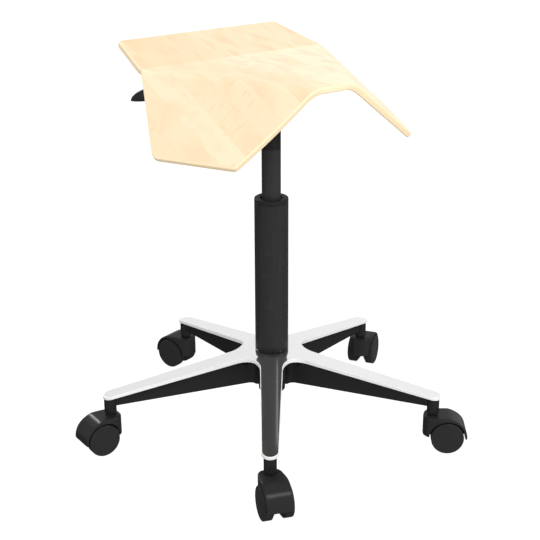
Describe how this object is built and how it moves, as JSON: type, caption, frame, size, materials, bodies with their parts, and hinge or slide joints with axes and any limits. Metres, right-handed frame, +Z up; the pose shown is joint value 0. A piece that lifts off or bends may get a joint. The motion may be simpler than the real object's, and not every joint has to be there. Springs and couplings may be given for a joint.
{
  "type": "saddle stool",
  "caption": "Saddle stool: a folded plywood seat on a gas-lift column, with a release lever and a star base under a polished cover on twin-wheel casters.",
  "frame": {"origin": "on the floor, under the column's axis", "axes": "+Z up, the sitter faces -Y, +X to the sitter's left"},
  "size_m": [0.5978, 0.5787, 0.5978],
  "materials": {
    "pale_veneer": "clear satin lacquer over pale veneer",
    "polished_aluminium": "mirror polished",
    "black_coated_steel": "black satin powder coat",
    "black_plastic": "black satin moulded plastic",
    "bright_steel": "bright zinc plate",
    "black_rubber": "matt"
  },
  "bodies": {
    "base": {"star_frame": "black_coated_steel", "star_cover": "polished_aluminium", "cover_screw_1": "bright_steel", "cover_screw_2": "bright_steel", "cover_screw_3": "bright_steel", "cover_screw_4": "bright_steel", "cover_screw_5": "bright_steel", "column_tube": "black_coated_steel", "column_cap": "black_plastic", "guide_bush": "black_plastic", "bearing_washer_lower": "bright_steel", "bearing_ball_cage": "bright_steel", "caster_stem_1": "bright_steel", "caster_stem_2": "bright_steel", "caster_stem_3": "bright_steel", "caster_stem_4": "bright_steel", "caster_stem_5": "bright_steel"},
    "rod": {"piston_rod": "bright_steel", "piston": "black_plastic", "bearing_washer_upper": "bright_steel", "rod_bumper": "black_rubber", "rod_clip": "bright_steel"},
    "seat": {"seat_shell": "pale_veneer", "seat_plate": "black_coated_steel", "mechanism_housing": "black_coated_steel", "taper_socket": "black_coated_steel", "gas_cylinder": "black_coated_steel", "cylinder_seal": "black_plastic", "lever_pin": "bright_steel", "seat_bolt_1": "bright_steel", "seat_bolt_2": "bright_steel", "seat_bolt_3": "bright_steel", "seat_bolt_4": "bright_steel", "insert_nut_1": "bright_steel", "insert_nut_2": "bright_steel", "insert_nut_3": "bright_steel", "insert_nut_4": "bright_steel"},
    "lever": {"lever_bar": "bright_steel", "lever_paddle": "black_plastic"},
    "valve": {"valve_pin": "bright_steel"},
    "caster_1": {"caster_hood_1": "black_plastic", "caster_axle_1": "bright_steel"},
    "wheel_1_left": {"caster_wheel_1_left": "black_plastic"},
    "wheel_1_right": {"caster_wheel_1_right": "black_plastic"},
    "caster_2": {"caster_hood_2": "black_plastic", "caster_axle_2": "bright_steel"},
    "wheel_2_left": {"caster_wheel_2_left": "black_plastic"},
    "wheel_2_right": {"caster_wheel_2_right": "black_plastic"},
    "caster_3": {"caster_hood_3": "black_plastic", "caster_axle_3": "bright_steel"},
    "wheel_3_left": {"caster_wheel_3_left": "black_plastic"},
    "wheel_3_right": {"caster_wheel_3_right": "black_plastic"},
    "caster_4": {"caster_hood_4": "black_plastic", "caster_axle_4": "bright_steel"},
    "wheel_4_left": {"caster_wheel_4_left": "black_plastic"},
    "wheel_4_right": {"caster_wheel_4_right": "black_plastic"},
    "caster_5": {"caster_hood_5": "black_plastic", "caster_axle_5": "bright_steel"},
    "wheel_5_left": {"caster_wheel_5_left": "black_plastic"},
    "wheel_5_right": {"caster_wheel_5_right": "black_plastic"}
  },
  "joints": [
    {"name": "seat_swivel", "type": "hinge", "parent": "base", "child": "rod", "pos_m": [0, 0, 0.07007], "axis": [0, 0, 1], "continuous": true},
    {"name": "seat_height", "type": "slide", "parent": "rod", "child": "seat", "axis": [0, 0, 1], "range_m": [-0.115, 0.08]},
    {"name": "lever_lift", "type": "hinge", "parent": "seat", "child": "lever", "pos_m": [-0.01942, 0.01411, 0.54994], "axis": [0.5878, 0.809, 0], "range_deg": [0, 6], "stiffness_Nm_per_rad": 1},
    {"name": "valve_press", "type": "slide", "parent": "seat", "child": "valve", "axis": [0, 0, -1], "range_m": [0, 0.0026]},
    {"name": "caster_swivel_1", "type": "hinge", "parent": "base", "child": "caster_1", "pos_m": [0, 0.2584, 0.0563], "axis": [0, 0, 1], "continuous": true},
    {"name": "wheel_spin_1_left", "type": "hinge", "parent": "caster_1", "child": "wheel_1_left", "pos_m": [-0.00647, 0.27943, 0.025], "axis": [-0.9558, -0.294, 0], "continuous": true},
    {"name": "wheel_spin_1_right", "type": "hinge", "parent": "caster_1", "child": "wheel_1_right", "pos_m": [-0.00647, 0.27943, 0.025], "axis": [-0.9558, -0.294, 0], "continuous": true},
    {"name": "caster_swivel_2", "type": "hinge", "parent": "base", "child": "caster_2", "pos_m": [-0.24575, 0.07985, 0.0563], "axis": [0, 0, 1], "continuous": true},
    {"name": "wheel_spin_2_left", "type": "hinge", "parent": "caster_2", "child": "wheel_2_left", "pos_m": [-0.26775, 0.0802, 0.025], "axis": [-0.0157, -0.9999, 0], "continuous": true},
    {"name": "wheel_spin_2_right", "type": "hinge", "parent": "caster_2", "child": "wheel_2_right", "pos_m": [-0.26775, 0.0802, 0.025], "axis": [-0.0157, -0.9999, 0], "continuous": true},
    {"name": "caster_swivel_3", "type": "hinge", "parent": "base", "child": "caster_3", "pos_m": [-0.15188, -0.20905, 0.0563], "axis": [0, 0, 1], "continuous": true},
    {"name": "wheel_spin_3_left", "type": "hinge", "parent": "caster_3", "child": "wheel_3_left", "pos_m": [-0.15901, -0.22986, 0.025], "axis": [0.9461, -0.3239, 0], "continuous": true},
    {"name": "wheel_spin_3_right", "type": "hinge", "parent": "caster_3", "child": "wheel_3_right", "pos_m": [-0.15901, -0.22986, 0.025], "axis": [0.9461, -0.3239, 0], "continuous": true},
    {"name": "caster_swivel_4", "type": "hinge", "parent": "base", "child": "caster_4", "pos_m": [0.15188, -0.20905, 0.0563], "axis": [0, 0, 1], "continuous": true},
    {"name": "wheel_spin_4_left", "type": "hinge", "parent": "caster_4", "child": "wheel_4_left", "pos_m": [0.16948, -0.22226, 0.025], "axis": [0.6004, 0.7997, 0], "continuous": true},
    {"name": "wheel_spin_4_right", "type": "hinge", "parent": "caster_4", "child": "wheel_4_right", "pos_m": [0.16948, -0.22226, 0.025], "axis": [0.6004, 0.7997, 0], "continuous": true},
    {"name": "caster_swivel_5", "type": "hinge", "parent": "base", "child": "caster_5", "pos_m": [0.24575, 0.07985, 0.0563], "axis": [0, 0, 1], "continuous": true},
    {"name": "wheel_spin_5_left", "type": "hinge", "parent": "caster_5", "child": "wheel_5_left", "pos_m": [0.26375, 0.0925, 0.025], "axis": [-0.575, 0.8181, 0], "continuous": true},
    {"name": "wheel_spin_5_right", "type": "hinge", "parent": "caster_5", "child": "wheel_5_right", "pos_m": [0.26375, 0.0925, 0.025], "axis": [-0.575, 0.8181, 0], "continuous": true}
  ],
  "couplings": [
    {"joint": "valve_press", "follows": "lever_lift", "m_per_rad": 0.024}
  ]
}
